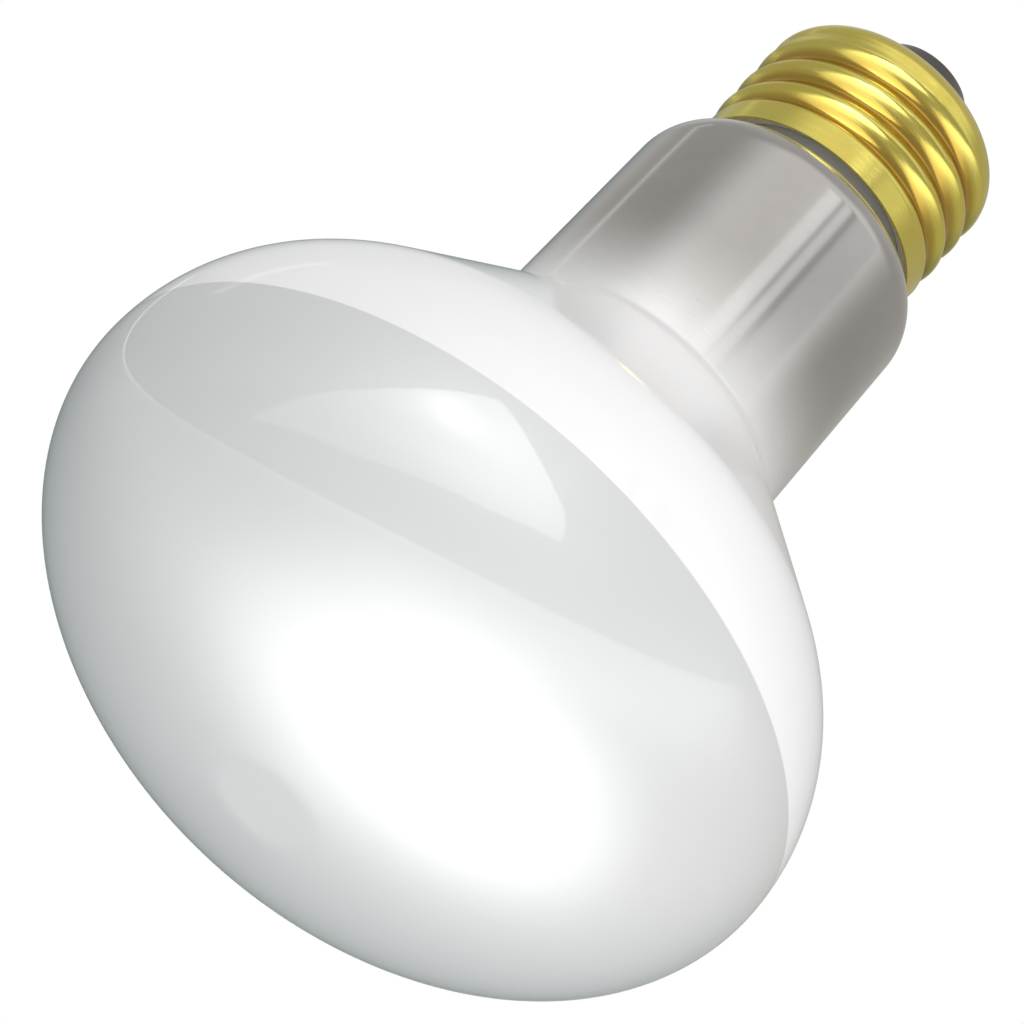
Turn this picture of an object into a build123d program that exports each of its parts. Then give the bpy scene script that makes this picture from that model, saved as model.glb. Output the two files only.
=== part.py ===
from build123d import *
import math
import os

# Reflector lamp with a medium screw cap, in millimetres, standing on its domed face with the cap upwards.
# The origin is the middle of the face, where it touches the table, and +Z runs up the lamp's axis.

# Head of the glass bulb
head_diameter = 80.0
face_depth = 25.0  # of the half ellipse that the face follows
face_flat_depth = 0.25  # of the ellipse's tip that the flat middle of the face takes off
face_blend_radius = 20.0  # between the flat middle and the ellipse
back_radius = 21.0  # roundness of the mirrored back above the widest ring
flank_angle = 45.3  # slope of the back's straight flank, from the axis

# Neck and shoulder of the glass bulb
neck_root_diameter = 32.8
neck_top_diameter = 31.9
neck_length = 23.6
neck_fillet = 2.0
shoulder_radius = 5.0
shoulder_root_radius = 1.2

# Tail of the glass bulb, hidden in the cap
cement_wall = 1.06  # thinnest cement, between the tail and the thread's roots
tail_gap = 3.4  # from the tail's top up to the insulator's foot
tail_wall = 1.4
flare_depth = 12.0
flare_margin = 1.1  # flat floor outside the leads
exhaust_diameter = 4.8
exhaust_drop = 2.2  # of the sealed exhaust tip below the tail's own rim

# Screw shell, rolled from thin sheet with a right-hand thread of 7 turns to the inch
rim_gap = 1.1  # from the top of the glass shoulder up to the shell's open rim
sheet = 0.25
crest_diameter = 26.3
thread_depth = 0.84
thread_pitch = 25.4 / 7
band_step = 0.2  # of the plain band at the rim inside the thread's crests
thread_start = 2.4  # above the rim
thread_run_in = 1.5
thread_run_out = 3.0
thread_stop = 2.6  # from the thread's end up to the shell's end
thread_turn = 66.0  # angle of the crest at the rim, if the thread ran down to it
sections_per_turn = 10
shell_height = 17.3
end_radius = 3.8
end_lip = 0.65  # flat edge round the opening, inside the rounded end

# Insulator and contact in the end of the shell
insulator_rise = 5.2  # above the shell's end
insulator_top_diameter = 10.6
insulator_edge = 0.6
insulator_side_gap = 1.4  # from its side to the inside of the shell's crests
insulator_depth = 3.5  # from the shell's end down to its underside
insulator_dish_depth = 1.8
insulator_dish_diameter = 15.0
contact_diameter = 9.5
contact_thickness = 0.45
contact_edge = 0.25
contact_recess = 0.25
eyelet_diameter = 3.4
eyelet_wall = 0.35
eyelet_length = 3.2
solder_diameter = 4.6
solder_height = 0.9

# Cement, leads and the solder bead at the rim
seat_gap = 0.05
cement_foot = 1.3  # above the rim
cement_drop = 1.7  # of its top below the tail's top
lead_diameter = 0.6
lead_bend_radius = 1.5
lead_clearance = 0.9  # from the exhaust tube to the leads
lead_bend_drop = 0.4  # of the centre lead's upper bend below the insulator's foot
lead_tip = 0.3  # of the centre lead's end above the contact, inside the solder
fuse_diameter = 0.36
fuse_bends = (1.5, 0.5, 0.4, 0.6, 0.3, 0.4)  # radii of the fine lead's bends, from the flare to the rim
fuse_rise = 4.0  # from the fine lead's first bend up to the tail's top
fuse_crossing = 2.8  # from the start of its run over the tail's lip to the tail's outside
fuse_gap = 0.3  # between the fine lead and the tail's glass
fuse_rim_gap = 0.2  # between the fine lead and the glass shoulder under the rim
fuse_band_gap = 0.15  # between the fine lead and the band's outside
bead_radius = 1.5
bead_sink = 0.1  # of the bead's centre inside the band's outside
bead_height = 1.8  # of the bead's centre above the rim
side_azimuth = 90.0  # side of the lamp that carries the rim's solder bead

# Length by which a cutting shape passes the face that it opens
overrun = 1.0

# Sizes worked out from those above
head_radius = head_diameter / 2
face_rise = face_depth - face_flat_depth  # from the flat middle up to the widest ring
face_flat_radius = head_radius * math.sqrt(1 - (face_rise / face_depth) ** 2)  # before its blend
neck_root_radius = neck_root_diameter / 2
neck_top_radius = neck_top_diameter / 2
crest_radius = crest_diameter / 2
band_radius = crest_radius - band_step
tail_radius = crest_radius - thread_depth - sheet - cement_wall
flank = math.radians(flank_angle)
taper = math.atan2(neck_root_radius - neck_top_radius, neck_length)
back_end_radius = head_radius - back_radius * (1 - math.cos(flank))
fillet_start_radius = neck_root_radius + neck_fillet * (math.cos(taper) - math.cos(flank))
flank_length = (back_end_radius - fillet_start_radius) / math.sin(flank)
neck_root_z = (face_rise + back_radius * math.sin(flank) + flank_length * math.cos(flank)
               + neck_fillet * (math.sin(flank) - math.sin(taper)))
neck_top_z = neck_root_z + neck_length
shoulder_centre_radius = neck_top_radius - shoulder_radius * math.cos(taper)
shoulder_centre_z = neck_top_z - shoulder_radius * math.sin(taper)
shoulder_drop = neck_top_radius - tail_radius
shoulder_turn = math.acos((shoulder_radius * math.cos(taper) + shoulder_root_radius - shoulder_drop)
                          / (shoulder_radius + shoulder_root_radius))
rim_z = shoulder_centre_z + shoulder_radius + rim_gap
thread_end = shell_height - thread_stop
end_z = rim_z + shell_height
insulator_foot_z = end_z - insulator_depth
insulator_top_z = end_z + insulator_rise
contact_bottom_z = insulator_top_z - contact_recess
contact_top_z = contact_bottom_z + contact_thickness
tail_top_z = insulator_foot_z - tail_gap
flare_floor_z = tail_top_z - flare_depth
lead_offset = (exhaust_diameter + lead_diameter) / 2 + lead_clearance
flare_floor_radius = lead_offset + lead_diameter / 2 + flare_margin
end_arc_z = shell_height - end_radius  # where the rounded end begins, above the rim
end_arc_radius = crest_radius - end_radius  # distance of its centre from the axis
opening_radius = end_arc_radius - end_lip


def spun(*outline, blend_at=None, blend_radius=0.0):
    """Solid of revolution about the axis from edges drawn as radius and height, with one corner rounded."""
    with BuildPart() as part:
        with BuildSketch(Plane.XZ) as section:
            with BuildLine():
                for edge in outline:
                    add(edge)
            make_face()
            if blend_at:
                radius, height = blend_at
                fillet(section.vertices().sort_by_distance((radius, 0, height))[0], blend_radius)
        revolve(section.sketch, Axis.Z)
    return part.part


def glass_envelope():
    """The blown bulb, sealed, with the flare and the exhaust tip in its tail."""
    flat = Line((0, 0), (face_flat_radius, 0))
    start = math.degrees(math.asin(face_rise / face_depth))
    face = EllipticalCenterArc((0, face_rise), head_radius, face_depth, start_angle=-start, arc_size=start)
    back = JernArc(face @ 1, (0, 1), back_radius, flank_angle)
    slope = PolarLine(back @ 1, flank_length, 90 + flank_angle)
    fillet_arc = JernArc(slope @ 1, slope % 1, neck_fillet, math.degrees(taper) - flank_angle)
    neck = Line(fillet_arc @ 1, (neck_top_radius, neck_top_z))
    turn = math.degrees(shoulder_turn)
    shoulder = JernArc(neck @ 1, neck % 1, shoulder_radius, turn - math.degrees(taper))
    root = JernArc(shoulder @ 1, shoulder % 1, shoulder_root_radius, -turn)
    tail = Line(root @ 1, (tail_radius, tail_top_z - tail_wall / 2))
    lip = JernArc(tail @ 1, (0, 1), tail_wall / 2, 180)
    flare = Line(lip @ 1, (flare_floor_radius, flare_floor_z))
    floor = Line(flare @ 1, (exhaust_diameter / 2, flare_floor_z))
    tip_z = tail_top_z - exhaust_drop
    tube = Line(floor @ 1, (exhaust_diameter / 2, tip_z - exhaust_diameter / 2))
    tip = JernArc(tube @ 1, (0, 1), exhaust_diameter / 2, 90)
    axis = Line(tip @ 1, (0, 0))
    outside = (flat, face, back, slope, fillet_arc, neck, shoulder, root, tail)
    inside = (lip, flare, floor, tube, tip, axis)
    return spun(*outside, *inside, blend_at=(face_flat_radius, 0), blend_radius=face_blend_radius)


def eased(share):
    """Smooth rise from 0 to 1 as share goes from 0 to 1."""
    share = min(max(share, 0.0), 1.0)
    return share * share * (3 - 2 * share)


def thread_shift(height):
    """Distance of the thread's section from the lamp's axis: it fades in at the rim and out at the end."""
    fade_in = eased((height - thread_start) / thread_run_in)
    fade_out = eased((thread_end - height) / thread_run_out)
    return thread_depth / 2 * min(fade_in, fade_out)


def crest_reach(height, inset):
    """Radius of the shell's crests at a height above the rim, with the surface moved in by inset."""
    if height <= end_arc_z:
        swell = eased((height - thread_start) / thread_run_in)
        return band_radius + (crest_radius - band_radius) * swell - inset
    return end_arc_radius + math.sqrt((end_radius - inset) ** 2 - (height - end_arc_z) ** 2)


def thread_section(height, inset):
    """A rolled thread cut square to its axis is a circle whose centre goes once round the axis per turn."""
    angle = math.radians(thread_turn + 360 * height / thread_pitch)
    shift = thread_shift(height)
    place = Pos(shift * math.cos(angle), shift * math.sin(angle), rim_z + height)
    return place * Circle(crest_reach(height, inset) - shift)


def shell_core(inset, past_rim=0.0):
    """The room inside the shell's surface moved in by inset, running on by past_rim below the rim."""
    count = math.ceil((thread_end - thread_start) / thread_pitch * sections_per_turn)
    step = (thread_end - thread_start) / count
    threaded = loft([thread_section(thread_start + i * step, inset) for i in range(count + 1)])

    band_height = thread_start + past_rim
    middle = Pos(0, 0, rim_z + thread_start - band_height / 2)
    band = middle * Cylinder(band_radius - inset, band_height)

    stop_z = rim_z + thread_end
    reach = crest_reach(thread_end, inset)
    top_z = end_z - inset
    lid = spun(Line((0, stop_z), (reach, stop_z)),
               RadiusArc((reach, stop_z), (end_arc_radius, top_z), inset - end_radius),
               Line((end_arc_radius, top_z), (0, top_z)),
               Line((0, top_z), (0, stop_z)))
    return band + threaded + lid


def screw_shell():
    """Thin brass shell: plain band at the rim, rolled thread, rounded end turned in round an opening."""
    opening = Pos(0, 0, end_z) * Cylinder(opening_radius, 2 * end_radius)
    return shell_core(0) - shell_core(sheet, overrun) - opening


def base_insulator():
    """Black glass moulded into the shell's end, with a cone outside and a dished underside."""
    body = crest_radius - sheet - insulator_side_gap
    neck = opening_radius - seat_gap
    seat = end_radius - sheet - seat_gap  # radius of its rounded shoulder, under the shell's own
    under_z = rim_z + end_arc_z + seat
    side_z = rim_z + end_arc_z + math.sqrt(seat ** 2 - (body - end_arc_radius) ** 2)
    top = insulator_top_diameter / 2
    pocket = contact_diameter / 2 + seat_gap
    bore = eyelet_diameter / 2 + seat_gap
    dish = insulator_dish_diameter / 2
    with BuildPart() as part:
        with BuildSketch(Plane.XZ) as section:
            with BuildLine():
                Polyline((body, side_z), (body, insulator_foot_z), (dish, insulator_foot_z),
                         (bore, insulator_foot_z + insulator_dish_depth), (bore, contact_bottom_z),
                         (pocket, contact_bottom_z), (pocket, insulator_top_z), (top, insulator_top_z),
                         (neck, end_z), (neck, under_z), (end_arc_radius, under_z))
                RadiusArc((end_arc_radius, under_z), (body, side_z), seat)
            make_face()
            edge = section.vertices().sort_by_distance((top, 0, insulator_top_z))[0]
            fillet(edge, insulator_edge)
        revolve(section.sketch, Axis.Z)
    return part.part


def centre_contact():
    """Eyelet: a flat flange in the insulator's pocket and a short tube down its bore."""
    flange = contact_diameter / 2
    outer = eyelet_diameter / 2
    inner = outer - eyelet_wall
    with BuildPart() as part:
        with BuildSketch(Plane.XZ) as section:
            with BuildLine():
                Polyline((inner, contact_bottom_z - eyelet_length), (outer, contact_bottom_z - eyelet_length),
                         (outer, contact_bottom_z), (flange, contact_bottom_z), (flange, contact_top_z),
                         (inner, contact_top_z), close=True)
            make_face()
            edge = section.vertices().sort_by_distance((flange, 0, contact_top_z))[0]
            fillet(edge, contact_edge)
        revolve(section.sketch, Axis.Z)
    return part.part


def wire(points, bends, diameter):
    """Round wire along straight runs and tangent bends, drawn as radius and height on the leads' side."""
    path = FilletPolyline(*[(radius, 0, z) for radius, z in points], radius=bends)
    run = sweep(Plane(origin=path @ 0, z_dir=path % 0) * Circle(diameter / 2), path=path)
    return Rot(0, 0, side_azimuth) * run


def centre_lead(diameter=lead_diameter):
    """Lead from the flare's floor, past the exhaust tip and through the eyelet, into the centre solder."""
    points = [(-lead_offset, flare_floor_z), (-lead_offset, tail_top_z - exhaust_drop / 2),
              (0, insulator_foot_z - lead_bend_drop), (0, contact_top_z + lead_tip)]
    return wire(points, lead_bend_radius, diameter)


def side_lead(diameter=fuse_diameter):
    """Fine lead over the tail's lip, down through the cement, round the rim and up the band's outside."""
    half = fuse_diameter / 2
    over_z = tail_top_z + half + fuse_gap
    down = tail_radius + half + fuse_gap
    reach = shoulder_radius + half + fuse_rim_gap  # of the bend under the rim, from the shoulder's centre
    under = band_radius - sheet
    under_z = shoulder_centre_z + math.sqrt(reach ** 2 - (under - shoulder_centre_radius) ** 2)
    outside = band_radius + half + fuse_band_gap
    points = [(lead_offset, flare_floor_z), (lead_offset, tail_top_z - fuse_rise),
              (tail_radius - fuse_crossing, over_z), (down, over_z), (down, shoulder_centre_z + reach),
              (under, under_z), (outside, under_z), (outside, rim_z + bead_height)]
    return wire(points, fuse_bends, diameter)


def basing_cement():
    """Cement squeezed between the tail and the shell's thread, with a groove where the fine lead runs."""
    room = shell_core(sheet + seat_gap)
    cement_height = tail_top_z - cement_drop - (rim_z + cement_foot)
    middle = Pos(0, 0, rim_z + cement_foot + cement_height / 2)
    slab = middle * Cylinder(crest_radius, cement_height)
    tail = middle * Cylinder(tail_radius + seat_gap, cement_height + 2 * overrun)
    return (room & slab) - tail - side_lead(fuse_diameter + 2 * seat_gap)


def contact_solder():
    """Low dome of solder on the eyelet, closed round the end of the centre lead."""
    half = solder_diameter / 2
    ball = (half ** 2 + solder_height ** 2) / (2 * solder_height)
    top = (0, contact_top_z + solder_height)
    dome = spun(Line((0, contact_top_z), (half, contact_top_z)),
                RadiusArc((half, contact_top_z), top, -ball),
                Line(top, (0, contact_top_z)))
    return dome - centre_lead(lead_diameter + 2 * seat_gap)


def side_solder():
    """Bead of solder on the outside of the band, round the end of the fine lead."""
    place = Rot(0, 0, side_azimuth) * Pos(band_radius - bead_sink, 0, rim_z + bead_height)
    bead = place * Sphere(bead_radius)
    return bead - shell_core(-seat_gap, overrun) - side_lead(fuse_diameter + 2 * seat_gap)


os.makedirs("parts", exist_ok=True)
export_step(glass_envelope(), "parts/glass_envelope.step")
export_step(screw_shell(), "parts/screw_shell.step")
export_step(base_insulator(), "parts/base_insulator.step")
export_step(centre_contact(), "parts/centre_contact.step")
export_step(contact_solder(), "parts/contact_solder.step")
export_step(basing_cement(), "parts/basing_cement.step")
export_step(centre_lead(), "parts/centre_lead.step")
export_step(side_lead(), "parts/side_lead.step")
export_step(side_solder(), "parts/side_solder.step")
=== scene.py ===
import math
import bpy
from mathutils import Matrix, Vector


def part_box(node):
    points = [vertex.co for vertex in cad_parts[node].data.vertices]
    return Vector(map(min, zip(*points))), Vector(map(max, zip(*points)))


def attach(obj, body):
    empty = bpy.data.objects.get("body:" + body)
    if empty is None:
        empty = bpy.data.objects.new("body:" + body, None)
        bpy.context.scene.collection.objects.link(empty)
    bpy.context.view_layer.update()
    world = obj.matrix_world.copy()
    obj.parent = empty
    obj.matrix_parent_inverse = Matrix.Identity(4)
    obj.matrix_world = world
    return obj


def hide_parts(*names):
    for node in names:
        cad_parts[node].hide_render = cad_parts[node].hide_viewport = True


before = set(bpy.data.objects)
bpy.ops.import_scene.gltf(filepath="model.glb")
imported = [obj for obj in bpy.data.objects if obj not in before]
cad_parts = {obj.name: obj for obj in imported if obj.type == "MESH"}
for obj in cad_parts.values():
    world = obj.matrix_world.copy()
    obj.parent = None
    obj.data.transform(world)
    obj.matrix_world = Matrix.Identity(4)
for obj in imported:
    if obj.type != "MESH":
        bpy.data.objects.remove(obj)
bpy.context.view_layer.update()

# Lengths are written in millimetres and meshes are in metres
MM = 0.001

# Where the lamp stands in the photo, which fixes the camera
photo_size = 1024.0  # pixels
rim_pixel = (795.1, 222.4)  # middle of the cap's open rim
pixels_per_mm = 10.236  # at the rim
rim_depth = 600.0  # from the camera to the rim, along its view
axis_tilt = math.radians(31.77)  # of the lamp's axis away from the picture's plane
axis_turn = math.radians(47.50)  # of the lamp's axis above the picture's horizontal
sensor_width = 36.0  # millimetres
view_end = 100.0  # metres

# Lights that shine on the lamp: name, place and size in metres, power in watts and colour
studio_lights = (
    ("overhead_light", (-0.42, -0.75, 0.62), 0.7, 4.2, (1.0, 1.0, 1.0)),
    ("side_light", (0.85, -0.45, 0.15), 0.5, 3.0, (1.0, 0.975, 0.985)),
    ("face_light", (0.25, -0.1, -0.6), 0.3, 1.6, (1.0, 1.0, 1.0)),
)
world_light = 0.62  # strength of the world where it is neither seen nor mirrored
floor_colour = (0.93, 0.93, 0.93, 1)
floor_half = 3.0  # metres

# What the gloss shows, as strength of light, in red, green and blue where it is tinted
table_glow = 5.2
table_far = (0.8, 1.7)  # strength of the table's far part, left and right
side_glow = (0.44, 0.44, 0.40)
ceiling_glow = (0.50, 0.49, 0.48)
room_glow = 0.37
line_glow = (1.15, 0.55)  # at the horizon's left end, and what it gains to the right
back_glow = (0.15, 0.19, 0.19)
left_glow = (0.41, 0.41, 0.385)
right_glow = (0.42, 0.41, 0.385)
front_glow = (0.88, 0.86, 0.83)
window_glows = (1.05, 1.9, 2.2)  # of the whole window, and what its wide middle and its bright spot add

# Where the gloss shows it, in degrees of azimuth (turn) about the lamp's axis and of elevation (rise).
# Three numbers are the lowest, the highest and how softly both end. A fade has its start and its end.
table_way = (0.22, 0.26, -0.94)  # direction of the table's brightest part
table_fade = (6, 50)  # away from that direction
table_up = (-0.474, -0.714, 0.515)  # direction straight up from the table
far_change = (-190, -100)  # turns where the table's far part has its left and its right strength
far_turns = (-237, -10, 12)
far_rises = (-50, 0, 14)  # counted from the horizon
side_turns = (-14, 66, 22)
side_rises = (-36, 80, 14)
beside_rises = (22, 62, 7)  # of what stands beside the neck
left_turns = (122, 216, 26)
right_turns = (-24, 110, 26)
front_turns = (-132, -40, 16)
ceiling_fade = (46, 64)
back_way = (92, 2)  # turn and rise of the dim back's middle
back_fade = (30, 68)
room_turns = (-237, -10)
room_top = 34.0
line_turns = (-238, -100)
line_change = (-200, -100)  # turns between which the line gains strength
line_top = 34.5
line_width = 1.2
window_middle = (-106, 8)
window_fade = (4, 56)
spot_middle = (-121, 2)
spot_fade = (2, 13)
window_edges = (  # points of its upper edge, each with the point of its lower edge across from it
    ((-176, -31), (-145, -38)), ((-161, -23), (-130, -37)), ((-142, -9), (-118, -35)),
    ((-133, 1), (-108, -32)), ((-127, 10), (-98, -29)), ((-120, 20), (-88, -22)),
    ((-115, 27), (-80, -17)), ((-108, 22), (-80.5, -12)), ((-99, 13), (-84, -3)),
)
neck_lights = (  # name, strength, azimuths and elevations of their ends
    ("side_line", 0.75, 152.5, 156.5, 26.0, 47.0),
    ("front_strip", 1.2, -89.0, -76.5, 33.0, 46.0),
    ("first_gap", 0.45, -76.5, -73.0, 33.0, 48.0),
    ("thin_strip", 1.0, -73.0, -65.5, 33.0, 46.0),
    ("second_gap", 0.40, -65.5, -60.0, 33.0, 48.0),
    ("wide_strip", 0.72, -60.0, -33.0, 33.0, 46.0),
    ("strip_edge", 0.85, -33.0, -31.0, 33.0, 46.0),
)

# Distances of the mirrored patches from the lamp's middle in metres, where the nearest is seen first
surroundings_radius = 1.6
room_radius = 1.4
line_radius = 1.38
window_radius = 1.3
neck_light_radius = 1.2

# Glass bulb, as the solid has it
head_radius = 40.0
face_depth = 25.0
face_flat_depth = 0.25
face_blend_radius = 20.0
back_radius = 21.0
flank_angle = math.radians(45.3)
neck_root_radius = 16.4
neck_top_radius = 15.95
neck_length = 23.6
neck_fillet = 2.0
shoulder_radius = 5.0
shoulder_root_radius = 1.2
tail_radius = 11.0
tail_wall = 1.4
flare_depth = 12.0
flare_floor_radius = 5.0
exhaust_radius = 2.4
exhaust_drop = 2.2

# Zones of the glass
coating_edge = 25.35  # height of the white back's lower edge
coating_blur = 0.12
coating_wander = 0.5  # how far that edge wanders, in all
silver_fade = 11.0  # below the neck's root where the mirror starts, and above it where it is full
silver_thin = (14.0, -4.0)  # above the neck's root, where the mirror starts to thin and where it is thinnest
clear_fade = (2.0, 5.0)  # above the neck's top, where the mirror goes and where the glass is clear

# Screw shell, as the solid has it
rim_gap = 1.1
shell_height = 17.3
sheet = 0.25
crest_radius = 13.15
band_step = 0.2
thread_depth = 0.84
thread_pitch = 25.4 / 7
thread_start = 2.4
thread_run_in = 1.5
thread_run_out = 3.0
thread_stop = 2.6
thread_turn = 66.0
end_radius = 3.8
end_lip = 0.65
root_shade_fade = (0.95, 0.2)  # shares of the thread's depth below its crests, where the painted shade in the roots is full and gone
root_shade_stop = (-0.5, 0.8)  # above the thread's end, where the painted shade in the roots starts to go and where it is gone

# How fine the meshes are
bulb_count = 240  # points round the axis
shell_count = 216
straight_steps = 6
face_steps = 84
thread_steps = 110
crease_angle = math.radians(50)  # edges sharper than this stay crisp

# Sizes worked out from those above
face_rise = face_depth - face_flat_depth
band_radius = crest_radius - band_step
taper = math.atan2(neck_root_radius - neck_top_radius, neck_length)
back_end_radius = head_radius - back_radius * (1 - math.cos(flank_angle))
back_end_z = face_rise + back_radius * math.sin(flank_angle)
fillet_start_radius = neck_root_radius + neck_fillet * (math.cos(taper) - math.cos(flank_angle))
flank_length = (back_end_radius - fillet_start_radius) / math.sin(flank_angle)
fillet_start_z = back_end_z + flank_length * math.cos(flank_angle)
neck_root_z = fillet_start_z + neck_fillet * (math.sin(flank_angle) - math.sin(taper))
neck_top_z = neck_root_z + neck_length
shoulder_centre_radius = neck_top_radius - shoulder_radius * math.cos(taper)
shoulder_centre_z = neck_top_z - shoulder_radius * math.sin(taper)
shoulder_drop = neck_top_radius - tail_radius
shoulder_turn = math.acos((shoulder_radius * math.cos(taper) + shoulder_root_radius - shoulder_drop)
                          / (shoulder_radius + shoulder_root_radius))
rim_z = shoulder_centre_z + shoulder_radius + rim_gap
end_z = rim_z + shell_height
thread_end = shell_height - thread_stop
end_arc_z = shell_height - end_radius
end_arc_radius = crest_radius - end_radius
opening_radius = end_arc_radius - end_lip
tail_top_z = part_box("glass_envelope")[1][2] / MM
lamp_middle = Vector((0, 0, 45 * MM))  # what the lights and the mirrored patches are set round
quarter = math.pi / 2


def feed(tree, socket, value):
    """Links a socket to another one, or sets its value."""
    if isinstance(value, bpy.types.NodeSocket):
        tree.links.new(value, socket)
    else:
        socket.default_value = value


def add_node(tree, kind, **inputs):
    """A shader node with its inputs given by name, as sockets or values."""
    node = tree.nodes.new(kind)
    for name, value in inputs.items():
        feed(tree, node.inputs[name], value)
    return node


def arithmetic(tree, operation, first, second):
    """A Math node's result, from sockets or numbers."""
    node = tree.nodes.new("ShaderNodeMath")
    node.operation = operation
    feed(tree, node.inputs[0], first)
    feed(tree, node.inputs[1], second)
    return node.outputs[0]


def blended(tree, share, first, second):
    """A colour between two others, from sockets or colours."""
    node = tree.nodes.new("ShaderNodeMix")
    node.data_type = "RGBA"
    feed(tree, node.inputs[0], share)
    feed(tree, node.inputs[6], first)  # the first of the Mix node's colour inputs
    feed(tree, node.inputs[7], second)
    return node.outputs[2]


def ranged(tree, value, low, high, to_low=0.0, to_high=1.0, smooth=True):
    """Map Range node: value from low to high gives to_low to to_high."""
    node = tree.nodes.new("ShaderNodeMapRange")
    node.interpolation_type = "SMOOTHSTEP" if smooth else "LINEAR"
    tree.links.new(value, node.inputs[0])
    for socket, number in zip(node.inputs[1:5], (low, high, to_low, to_high)):
        socket.default_value = number
    return node.outputs[0]


def own_place(tree):
    """The place in the part's own frame, in metres."""
    return tree.nodes.new("ShaderNodeTexCoord").outputs["Object"]


def noise(tree, scale, detail=3.0, roughness=0.5, stretch=(1, 1, 1)):
    """Noise in the part's own frame, scale in waves to the metre, times stretch along its axes."""
    mapping = add_node(tree, "ShaderNodeMapping", Vector=own_place(tree), Scale=stretch)
    node = add_node(tree, "ShaderNodeTexNoise", Vector=mapping.outputs[0], Scale=scale, Detail=detail,
                    Roughness=roughness)
    return node.outputs[0]


def bumped(tree, shader, height, strength, distance):
    """Bump on a shader's normal, distance in metres."""
    node = add_node(tree, "ShaderNodeBump", Height=height, Strength=strength, Distance=distance)
    tree.links.new(node.outputs[0], shader.inputs["Normal"])
    return node.outputs[0]


def roughened(tree, shader, grain, low, high):
    """Roughness that follows a noise between two values."""
    tree.links.new(ranged(tree, grain, 0.3, 0.7, low, high), shader.inputs["Roughness"])


def new_material(name):
    """A new node material with its tree and its Principled shader."""
    material = bpy.data.materials.new(name)
    material.use_nodes = True
    tree = material.node_tree
    return material, tree, tree.nodes["Principled BSDF"]


def height_mm(tree):
    """The height above the table, in millimetres."""
    parts = add_node(tree, "ShaderNodeSeparateXYZ", Vector=own_place(tree))
    return arithmetic(tree, "MULTIPLY", parts.outputs[2], 1 / MM)


def axis_distance(tree):
    """The distance from the lamp's axis, in millimetres."""
    flat = tree.nodes.new("ShaderNodeVectorMath")
    flat.operation = "MULTIPLY"
    feed(tree, flat.inputs[0], own_place(tree))
    feed(tree, flat.inputs[1], (1, 1, 0))
    reach = tree.nodes.new("ShaderNodeVectorMath")
    reach.operation = "LENGTH"
    feed(tree, reach.inputs[0], flat.outputs[0])
    return arithmetic(tree, "MULTIPLY", reach.outputs["Value"], 1 / MM)


def envelope_material():
    """Frosted face, white coated back and mirrored neck under one glossy glass surface."""
    material, tree, shader = new_material("envelope_glass")
    z = height_mm(tree)
    wander = arithmetic(tree, "MULTIPLY", arithmetic(tree, "SUBTRACT", noise(tree, 18), 0.5), coating_wander)
    edge = arithmetic(tree, "ADD", z, wander)
    coated = ranged(tree, edge, coating_edge - coating_blur, coating_edge + coating_blur)
    silvered = ranged(tree, z, neck_root_z - silver_fade, neck_root_z + silver_fade)
    thinned = ranged(tree, z, neck_root_z + silver_thin[0], neck_root_z + silver_thin[1])
    clear = ranged(tree, z, neck_top_z + clear_fade[0], neck_top_z + clear_fade[1])
    cloud = noise(tree, 45, 4.0, 0.55)

    frost = blended(tree, cloud, (0.65, 0.66, 0.66, 1), (0.69, 0.70, 0.70, 1))
    white = blended(tree, cloud, (0.90, 0.90, 0.92, 1), (0.94, 0.94, 0.95, 1))
    silver = blended(tree, noise(tree, 60, 5.0, 0.6), (0.42, 0.405, 0.39, 1), (0.61, 0.59, 0.57, 1))
    silver = blended(tree, thinned, silver, (0.90, 0.89, 0.87, 1))
    colour = blended(tree, coated, frost, white)
    colour = blended(tree, silvered, colour, silver)
    colour = blended(tree, clear, colour, (0.60, 0.63, 0.66, 1))
    tree.links.new(colour, shader.inputs["Base Color"])

    frost_metal = ranged(tree, coated, 0.0, 1.0, 0.16, 0.0, smooth=False)
    metal = arithmetic(tree, "MAXIMUM", frost_metal, arithmetic(tree, "MULTIPLY", silvered, 0.95))
    metal = arithmetic(tree, "MULTIPLY", metal, ranged(tree, clear, 0.0, 1.0, 1.0, 0.3))
    tree.links.new(metal, shader.inputs["Metallic"])
    rough = ranged(tree, silvered, 0.0, 1.0, 0.5, 0.15, smooth=False)
    tree.links.new(rough, shader.inputs["Roughness"])
    shader.inputs["Coat Weight"].default_value = 1.0
    shader.inputs["Coat Roughness"].default_value = 0.015
    shader.inputs["Coat IOR"].default_value = 1.6
    ripple = bumped(tree, shader, noise(tree, 30, 2.0, 0.4), 0.25, 0.0002)
    tree.links.new(ripple, shader.inputs["Coat Normal"])
    return material


def brass_material():
    """Bright rolled sheet: yellow, with fine marks that run round it and painted shade, a darker brown, in
    the thread's roots.
    """
    material, tree, shader = new_material("shell_brass")
    patch = noise(tree, 160, 4.0, 0.6)
    marks = noise(tree, 260, 4.0, 0.7, stretch=(1, 1, 22))
    colour = blended(tree, patch, (0.84, 0.67, 0.12, 1), (0.93, 0.84, 0.23, 1))
    # painted shade: the thread's roots are coloured a darker brown, which stops past the thread's end
    crest = ranged(tree, axis_distance(tree), crest_radius - thread_depth * root_shade_fade[0],
                   crest_radius - thread_depth * root_shade_fade[1])
    end = rim_z + thread_end
    past_thread = ranged(tree, height_mm(tree), end + root_shade_stop[0], end + root_shade_stop[1])
    bright = arithmetic(tree, "MAXIMUM", crest, past_thread)
    colour = blended(tree, bright, (0.58, 0.38, 0.07, 1), colour)
    tree.links.new(colour, shader.inputs["Base Color"])
    shader.inputs["Metallic"].default_value = 1.0
    roughened(tree, shader, marks, 0.14, 0.26)
    bumped(tree, shader, marks, 0.25, 0.00003)
    return material


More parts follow.
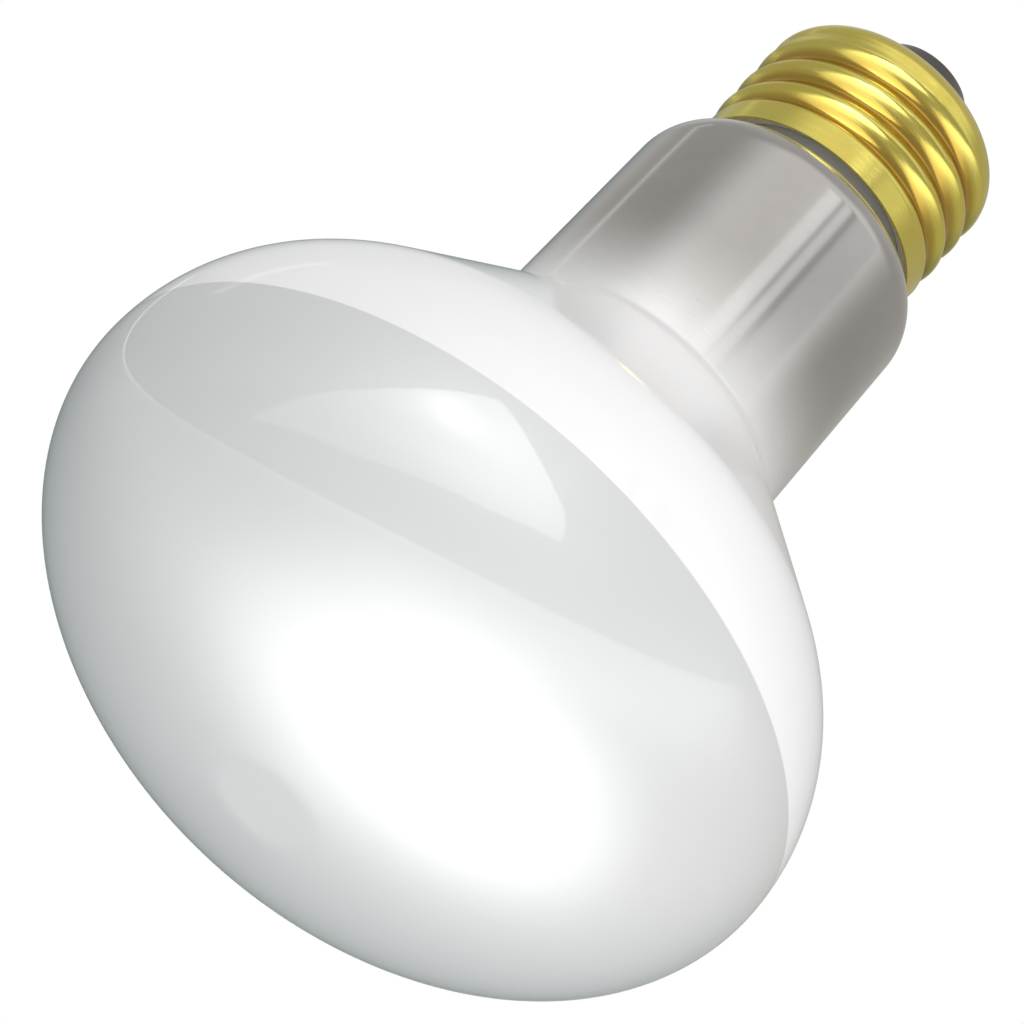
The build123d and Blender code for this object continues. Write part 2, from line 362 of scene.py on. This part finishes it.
def insulator_material():
    """Glossy black moulded glass with a faint brown depth."""
    material, tree, shader = new_material("insulator_glass")
    cloud = noise(tree, 300, 3.0)
    colour = blended(tree, cloud, (0.012, 0.010, 0.009, 1), (0.045, 0.030, 0.020, 1))
    tree.links.new(colour, shader.inputs["Base Color"])
    roughened(tree, shader, cloud, 0.08, 0.2)
    shader.inputs["Specular IOR Level"].default_value = 0.3
    bumped(tree, shader, noise(tree, 900, 2.0), 0.2, 0.00004)
    return material


def contact_material():
    """Pressed brass, tinned in a ring round the solder."""
    material, tree, shader = new_material("contact_brass")
    wander = arithmetic(tree, "MULTIPLY", noise(tree, 500, 3.0), 1.6)
    tinned = ranged(tree, arithmetic(tree, "ADD", axis_distance(tree), wander), 3.4, 4.2)
    colour = blended(tree, tinned, (0.66, 0.66, 0.64, 1), (0.80, 0.66, 0.34, 1))
    tree.links.new(colour, shader.inputs["Base Color"])
    shader.inputs["Metallic"].default_value = 1.0
    roughened(tree, shader, noise(tree, 700, 4.0), 0.22, 0.4)
    bumped(tree, shader, noise(tree, 1200, 3.0), 0.25, 0.00003)
    return material


def solder_material():
    """Dull tin solder with a crystalline, slightly sunken skin."""
    material, tree, shader = new_material("solder")
    grain = noise(tree, 1500, 4.0, 0.6)
    colour = blended(tree, grain, (0.52, 0.53, 0.54, 1), (0.72, 0.73, 0.73, 1))
    tree.links.new(colour, shader.inputs["Base Color"])
    shader.inputs["Metallic"].default_value = 1.0
    roughened(tree, shader, grain, 0.24, 0.42)
    bumped(tree, shader, noise(tree, 700, 3.0), 0.5, 0.00012)
    return material


def cement_material():
    """Fine baked cement, sandy and matt."""
    material, tree, shader = new_material("cement")
    grain = noise(tree, 2600, 4.0, 0.7)
    colour = blended(tree, grain, (0.50, 0.43, 0.32, 1), (0.78, 0.71, 0.58, 1))
    tree.links.new(colour, shader.inputs["Base Color"])
    shader.inputs["Roughness"].default_value = 0.85
    bumped(tree, shader, grain, 0.6, 0.00015)
    return material


def wire_material():
    """Drawn copper-clad wire with fine lengthwise marks."""
    material, tree, shader = new_material("lead_wire")
    marks = noise(tree, 900, 4.0, 0.6, stretch=(5, 5, 1))
    colour = blended(tree, marks, (0.62, 0.38, 0.25, 1), (0.80, 0.56, 0.40, 1))
    tree.links.new(colour, shader.inputs["Base Color"])
    shader.inputs["Metallic"].default_value = 1.0
    roughened(tree, shader, marks, 0.24, 0.4)
    bumped(tree, shader, marks, 0.3, 0.00002)
    return material


def arc(centre, radius, start, end, steps):
    """Points of an arc in radius and height, from one angle to another, without its first point."""
    turns = [start + (end - start) * (i + 1) / steps for i in range(steps)]
    return [(centre[0] + radius * math.cos(t), centre[1] + radius * math.sin(t)) for t in turns]


def mesh_object(name, points, faces, material):
    """A smooth mesh object in the scene, from points in millimetres, with its sharp edges kept crisp."""
    mesh = bpy.data.meshes.new(name)
    mesh.from_pydata([Vector(p) * MM for p in points], [], faces)
    mesh.shade_smooth()
    mesh.set_sharp_from_angle(angle=crease_angle)
    mesh.materials.append(material)
    mesh.validate()
    piece = bpy.data.objects.new(name, mesh)
    bpy.context.scene.collection.objects.link(piece)
    return piece


def stitched(rings, count):
    """Quads between each ring of points and the next, where a ring of one point is a pole."""
    points = []
    starts = []
    for ring in rings:
        starts.append(len(points))
        points.extend(ring)
    faces = []
    for first, second, a, b in zip(rings, rings[1:], starts, starts[1:]):
        for i in range(count):
            j = (i + 1) % count
            if len(first) == 1:
                faces.append((a, b + j, b + i))
            elif len(second) == 1:
                faces.append((a + i, a + j, b))
            else:
                faces.append((a + i, a + j, b + j, b + i))
    return points, faces


def circle(radius, z, count, shift=0.0, angle=0.0):
    """A ring of points about the lamp's axis, or a pole where its radius is nothing."""
    if radius < 1e-6:
        return [(0, 0, z)]
    x = shift * math.cos(angle)
    y = shift * math.sin(angle)
    turns = [2 * math.pi * i / count for i in range(count)]
    return [(x + radius * math.cos(t), y + radius * math.sin(t), z) for t in turns]


def face_outline():
    """The flat middle, the arc round its edge and the ellipse that the rest of the face follows."""
    low, high = 0.0, 0.5  # the arc's turn in radians, found by halving
    for _ in range(40):
        turn = (low + high) / 2
        start = math.atan(math.tan(turn) * head_radius / face_depth)
        if face_blend_radius * (1 - math.cos(turn)) > face_rise - face_depth * math.cos(start):
            low = turn
        else:
            high = turn
    flat_radius = head_radius * math.sin(start) - face_blend_radius * math.sin(turn)
    outline = [(0, 0), (flat_radius / 2, 0), (flat_radius, 0)]
    outline += arc((flat_radius, face_blend_radius), face_blend_radius, -quarter, turn - quarter, steps=8)
    turns = [start + (quarter - start) * (i + 1) / face_steps for i in range(face_steps)]
    return outline + [(head_radius * math.sin(t), face_rise - face_depth * math.cos(t)) for t in turns]


def mixed(first, second, share):
    """What lies between two points or colours, at a share of the way from the first."""
    return tuple(a + (b - a) * share for a, b in zip(first, second))


def straight(start, end):
    """Points of a straight stretch in radius and height, without its first point."""
    return [mixed(start, end, (i + 1) / straight_steps) for i in range(straight_steps)]


def envelope_piece(material):
    """The blown bulb in fine rings: face, back, flank, neck, shoulder, tail and flare."""
    outline = face_outline()
    outline += arc((head_radius - back_radius, face_rise), back_radius, 0, flank_angle, steps=36)
    fillet_centre = (fillet_start_radius + neck_fillet * math.cos(flank_angle),
                     fillet_start_z + neck_fillet * math.sin(flank_angle))
    outline += straight((back_end_radius, back_end_z), (fillet_start_radius, fillet_start_z))
    outline += arc(fillet_centre, neck_fillet, math.pi + flank_angle, math.pi + taper, steps=16)
    outline += straight((neck_root_radius, neck_root_z), (neck_top_radius, neck_top_z))
    shoulder_centre = (shoulder_centre_radius, shoulder_centre_z)
    outline += arc(shoulder_centre, shoulder_radius, taper, shoulder_turn, steps=24)
    root_centre = (outline[-1][0] + shoulder_root_radius * math.cos(shoulder_turn),
                   outline[-1][1] + shoulder_root_radius * math.sin(shoulder_turn))
    outline += arc(root_centre, shoulder_root_radius, math.pi + shoulder_turn, math.pi, steps=8)
    lip_z = tail_top_z - tail_wall / 2
    outline.append((tail_radius, lip_z))
    outline += arc((tail_radius - tail_wall / 2, lip_z), tail_wall / 2, 0, math.pi, steps=12)
    floor_z = tail_top_z - flare_depth
    tip_z = tail_top_z - exhaust_drop - exhaust_radius
    outline += [(flare_floor_radius, floor_z), (exhaust_radius, floor_z), (exhaust_radius, tip_z)]
    outline += arc((0, tip_z), exhaust_radius, 0, quarter, steps=10)
    rings = [circle(radius, z, bulb_count) for radius, z in outline]
    points, faces = stitched(rings, bulb_count)
    return mesh_object("blown_bulb", points, faces, material)


def eased(share):
    """Smooth rise from 0 to 1 as share goes from 0 to 1."""
    share = min(max(share, 0.0), 1.0)
    return share * share * (3 - 2 * share)


def shell_ring(height, inset):
    """The shell's section at a height above the rim: a circle whose centre goes round once a turn."""
    fade_in = eased((height - thread_start) / thread_run_in)
    fade_out = eased((thread_end - height) / thread_run_out)
    shift = thread_depth / 2 * min(fade_in, fade_out)
    angle = math.radians(thread_turn) + 2 * math.pi * height / thread_pitch
    if height <= end_arc_z:
        reach = band_radius + (crest_radius - band_radius) * fade_in - inset
    else:
        reach = end_arc_radius + math.sqrt(max((end_radius - inset) ** 2 - (height - end_arc_z) ** 2, 0))
    return circle(reach - shift, rim_z + height, shell_count, shift, angle)


def shell_rings(inset):
    """Rings of the shell's surface moved in by inset, from the rim to the opening's edge."""
    heights = [0.0, 0.06, 0.6, 1.2, 1.8]  # of the plain band
    span = thread_end - thread_start
    heights += [thread_start + span * i / thread_steps for i in range(thread_steps + 1)]
    rings = [shell_ring(height, inset) for height in heights]
    radius = end_radius - inset
    start = math.asin((thread_end - end_arc_z) / radius)
    rounded = arc((end_arc_radius, rim_z + end_arc_z), radius, start, quarter, steps=18)
    rings += [circle(reach, z, shell_count) for reach, z in rounded]
    rings.append(circle(opening_radius, end_z - inset, shell_count))
    return rings


def shell_piece(material):
    """The thin screw shell, closed at its rim and round its opening."""
    outside = shell_rings(0.0)
    inside = shell_rings(sheet)
    rings = outside + inside[::-1] + [outside[0]]
    points, faces = stitched(rings, shell_count)
    faces = [tuple(reversed(face)) for face in faces]
    return mesh_object("rolled_shell", points, faces, material)


def glow_material(name):
    """Emission whose colour and strength each point of a patch gives."""
    material = bpy.data.materials.new(name)
    material.use_nodes = True
    tree = material.node_tree
    tree.nodes.clear()
    lit = tree.nodes.new("ShaderNodeVertexColor")
    lit.layer_name = "glow"
    glow = add_node(tree, "ShaderNodeEmission", Color=lit.outputs["Color"], Strength=1.0)
    out = tree.nodes.new("ShaderNodeOutputMaterial")
    tree.links.new(glow.outputs[0], out.inputs["Surface"])
    return material


def direction(turn, rise):
    """Unit vector from the azimuth about the lamp's axis and the elevation, in degrees."""
    turn, rise = math.radians(turn), math.radians(rise)
    return Vector((math.cos(rise) * math.cos(turn), math.cos(rise) * math.sin(turn), math.sin(rise)))


def reflected_patch(name, material, radius, rows, glow):
    """Part of a sphere round the lamp that shows in gloss alone, from rows of azimuth and elevation."""
    points = [direction(*place) for row in rows for place in row]
    width = len(rows[0])
    faces = []
    for i in range(len(rows) - 1):
        for j in range(width - 1):
            a = i * width + j
            faces.append((a, a + 1, a + width + 1, a + width))
    mesh = bpy.data.meshes.new(name)
    mesh.from_pydata([lamp_middle + p * radius for p in points], [], faces)
    lit = mesh.color_attributes.new(name="glow", type="FLOAT_COLOR", domain="POINT")
    for i, place in enumerate(place for row in rows for place in row):
        lit.data[i].color = (*glow(*place), 1.0)
    mesh.shade_smooth()
    mesh.materials.append(material)
    piece = bpy.data.objects.new(name, mesh)
    bpy.context.scene.collection.objects.link(piece)
    piece.visible_camera = False
    piece.visible_diffuse = False
    piece.visible_shadow = False
    piece.visible_transmission = False
    piece.visible_volume_scatter = False


def grid(low_turn, high_turn, low, high, steps, levels):
    """Rows of azimuth and elevation between two azimuths, where low and high give the elevations there."""
    rows = []
    for i in range(steps + 1):
        turn = low_turn + (high_turn - low_turn) * i / steps
        rows.append([(turn, low(turn) + (high(turn) - low(turn)) * j / levels) for j in range(levels + 1)])
    return rows


def rise_of(value, low, high):
    """Smooth step from 0 to 1 as value goes from low to high."""
    return eased((value - low) / (high - low))


def within(value, low, high, soft):
    """1 between low and high and 0 outside them, with soft ends."""
    return rise_of(value, low - soft, low + soft) * (1 - rise_of(value, high - soft, high + soft))


def near(turn, rise, middle, fade):
    """1 round a direction and 0 away from it, where fade gives the degrees in which it goes."""
    away = math.degrees(direction(turn, rise).angle(middle))
    return 1 - rise_of(away, *fade)


def surroundings_glow(turn, rise):
    """The wide soft light: bright table below, dim room behind the lamp and beside its neck."""
    turn = (turn + 270) % 360 - 270  # from -270 to 90
    far = table_far[0] + (table_far[1] - table_far[0]) * rise_of(turn, *far_change)
    beyond = within(rise - horizon_rise(turn), *far_rises) * within(turn, *far_turns)
    colour = mixed((1.0, 1.0, 1.0), (far, far, far), beyond)
    colour = mixed(colour, side_glow, within(turn, *side_turns) * within(rise, *side_rises))
    colour = mixed(colour, (table_glow,) * 3, near(turn, rise, Vector(table_way), table_fade))
    colour = mixed(colour, ceiling_glow, rise_of(rise, *ceiling_fade))
    colour = mixed(colour, back_glow, near(turn, rise, direction(*back_way), back_fade))
    beside = within(rise, *beside_rises)
    colour = mixed(colour, left_glow, beside * within(turn + 360, *left_turns))
    colour = mixed(colour, right_glow, beside * within(turn, *right_turns))
    colour = mixed(colour, front_glow, beside * within(turn, *front_turns))
    return colour


def horizon_rise(turn):
    """Elevation of the white table's far edge, as it is mirrored in the face."""
    turn = math.radians(turn)
    up = Vector(table_up)
    return math.degrees(math.atan(-(up.x * math.cos(turn) + up.y * math.sin(turn)) / up.z))


def line_light(turn, rise):
    """The bright line along the horizon, stronger to the right."""
    return (line_glow[0] + rise_of(turn, *line_change) * line_glow[1],) * 3


def window_light(turn, rise):
    """The room's window: brightest near its upper edge and fading to its far end."""
    base, wide, spot = window_glows
    strength = base + wide * near(turn, rise, direction(*window_middle), window_fade)
    strength += spot * near(turn, rise, direction(*spot_middle), spot_fade)
    return (strength,) * 3


def plain(strength):
    """The same light all over a patch."""
    return lambda turn, rise: (strength,) * 3


def build_reflections():
    """What the lamp's gloss shows: the wide surroundings, the dark room, its window and the neck's lights."""
    glow = glow_material("studio_glow")
    everywhere = grid(-180, 180, lambda t: -90, lambda t: 90, steps=180, levels=90)
    reflected_patch("surroundings", glow, surroundings_radius, everywhere, surroundings_glow)

    room = grid(*room_turns, lambda t: min(horizon_rise(t), room_top), lambda t: room_top,
                steps=90, levels=24)
    reflected_patch("room", glow, room_radius, room, plain(room_glow))

    def line_rise(turn):
        return min(horizon_rise(turn), line_top)

    line = grid(*line_turns, lambda t: line_rise(t) - line_width, line_rise, steps=90, levels=1)
    reflected_patch("horizon_line", glow, line_radius, line, line_light)

    window = [[mixed(upper, lower, j / 16) for j in range(17)] for upper, lower in window_edges]
    reflected_patch("window", glow, window_radius, window, window_light)

    for name, strength, first, last, low, high in neck_lights:
        strip = grid(first, last, lambda t: low, lambda t: high, steps=8, levels=6)
        reflected_patch(name, glow, neck_light_radius, strip, plain(strength))


def aimed_light(name, place, size, power, colour):
    """Square light of the studio, aimed at the lamp's middle and not seen in its gloss."""
    data = bpy.data.lights.new(name, "AREA")
    data.shape = "SQUARE"
    data.size = size
    data.energy = power
    data.color = colour
    light = bpy.data.objects.new(name, data)
    light.location = place
    light.rotation_euler = (lamp_middle - Vector(place)).to_track_quat("-Z", "Y").to_euler()
    light.visible_camera = False
    light.visible_glossy = False
    bpy.context.scene.collection.objects.link(light)


def build_world():
    """White where it is seen or mirrored, and a weaker light elsewhere."""
    world = bpy.data.worlds.new("studio")
    world.use_nodes = True
    tree = world.node_tree
    tree.nodes.clear()
    path = tree.nodes.new("ShaderNodeLightPath")
    seen = arithmetic(tree, "MAXIMUM", path.outputs["Is Camera Ray"], path.outputs["Is Glossy Ray"])
    seen = arithmetic(tree, "MAXIMUM", seen, path.outputs["Is Transmission Ray"])
    strength = ranged(tree, seen, 0.0, 1.0, world_light, 1.0, smooth=False)
    glow = add_node(tree, "ShaderNodeBackground", Color=(1, 1, 1, 1), Strength=strength)
    out = tree.nodes.new("ShaderNodeOutputWorld")
    tree.links.new(glow.outputs[0], out.inputs["Surface"])
    bpy.context.scene.world = world


def build_floor():
    """Pale floor, seen from above alone, so that a camera under the lamp looks through it."""
    material, tree, shader = new_material("floor")
    shader.inputs["Base Color"].default_value = floor_colour
    shader.inputs["Roughness"].default_value = 0.9
    shader.inputs["Specular IOR Level"].default_value = 0.0
    path = tree.nodes.new("ShaderNodeLightPath")
    side = tree.nodes.new("ShaderNodeNewGeometry")
    front = arithmetic(tree, "SUBTRACT", 1.0, side.outputs["Backfacing"])
    shown = arithmetic(tree, "MULTIPLY", path.outputs["Is Camera Ray"], front)
    gone = tree.nodes.new("ShaderNodeBsdfTransparent")
    mix = tree.nodes.new("ShaderNodeMixShader")
    tree.links.new(shown, mix.inputs[0])
    tree.links.new(gone.outputs[0], mix.inputs[1])
    tree.links.new(shader.outputs[0], mix.inputs[2])
    tree.links.new(mix.outputs[0], tree.nodes["Material Output"].inputs["Surface"])
    corners = [(x * floor_half, y * floor_half, 0) for x, y in ((-1, -1), (1, -1), (1, 1), (-1, 1))]
    mesh = bpy.data.meshes.new("floor")
    mesh.from_pydata(corners, [], [(0, 1, 2, 3)])
    mesh.materials.append(material)
    floor = bpy.data.objects.new("floor", mesh)
    bpy.context.scene.collection.objects.link(floor)


def build_camera():
    """The photo's view, worked out from where the cap's rim and the lamp's axis lie in it."""
    middle = (photo_size - 1) / 2
    axis = Vector((math.cos(axis_tilt) * math.cos(axis_turn),
                   -math.cos(axis_tilt) * math.sin(axis_turn), math.sin(axis_tilt)))
    across_picture, down_picture = [(pixel - middle) / pixels_per_mm for pixel in rim_pixel]
    rim = Vector((across_picture, down_picture, rim_depth))
    foot = rim - rim_z * axis
    away = Vector((0, 0, 1)) - axis.z * axis
    away.normalize()
    across = away.cross(axis)
    to_view = Matrix((across, away, axis)).transposed()
    to_model = to_view.transposed()
    place = to_model @ (-foot) * MM
    right = to_model @ Vector((1, 0, 0))
    up = to_model @ Vector((0, -1, 0))
    back = to_model @ Vector((0, 0, -1))
    turn = Matrix((right, up, back)).transposed()
    data = bpy.data.cameras.new("camera")
    data.sensor_width = sensor_width
    data.lens = pixels_per_mm * rim_depth * sensor_width / photo_size
    data.clip_end = view_end
    camera = bpy.data.objects.new("camera", data)
    camera.matrix_world = Matrix.Translation(place) @ turn.to_4x4()
    bpy.context.scene.collection.objects.link(camera)
    bpy.context.scene.camera = camera


def finish_node(name, material):
    """Gives a node that is carried over its material."""
    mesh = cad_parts[name].data
    mesh.materials.clear()
    mesh.materials.append(material)


scene = bpy.context.scene
scene.view_settings.view_transform = "Standard"

build_camera()
build_world()
build_floor()
for light in studio_lights:
    aimed_light(*light)
build_reflections()

bulb = envelope_piece(envelope_material())
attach(bulb, "root")
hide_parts("glass_envelope")

shell = shell_piece(brass_material())
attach(shell, "root")
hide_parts("screw_shell")

finish_node("base_insulator", insulator_material())
finish_node("centre_contact", contact_material())
tin = solder_material()
finish_node("contact_solder", tin)
finish_node("side_solder", tin)
finish_node("basing_cement", cement_material())
copper = wire_material()
finish_node("centre_lead", copper)
finish_node("side_lead", copper)
